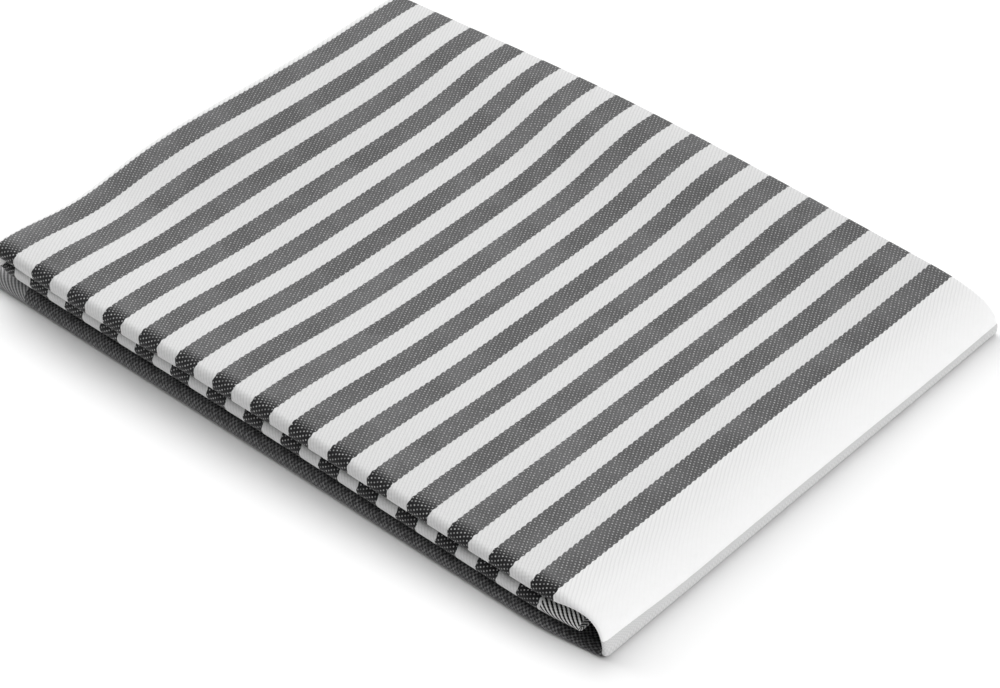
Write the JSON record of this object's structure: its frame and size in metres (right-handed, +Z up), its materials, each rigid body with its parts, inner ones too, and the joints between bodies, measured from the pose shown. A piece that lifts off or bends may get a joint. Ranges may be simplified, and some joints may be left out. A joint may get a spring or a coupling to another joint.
{
  "type": "folded tea towel",
  "caption": "Striped cotton tea towel folded into a flat rectangular pack, with rounded front folds and one broad end fold.",
  "frame": {"origin": "under the middle of the folded pack, on the surface that it lies on", "axes": "+X across the stripes towards the broad end fold, +Y along the stripes towards the back folds, +Z up"},
  "size_m": [0.238, 0.1846, 0.0223],
  "materials": {
    "striped_cotton": "matt woven cotton, dark grey and white stripes"
  },
  "bodies": {
    "root": {"tea_towel": "striped_cotton"}
  },
  "joints": []
}
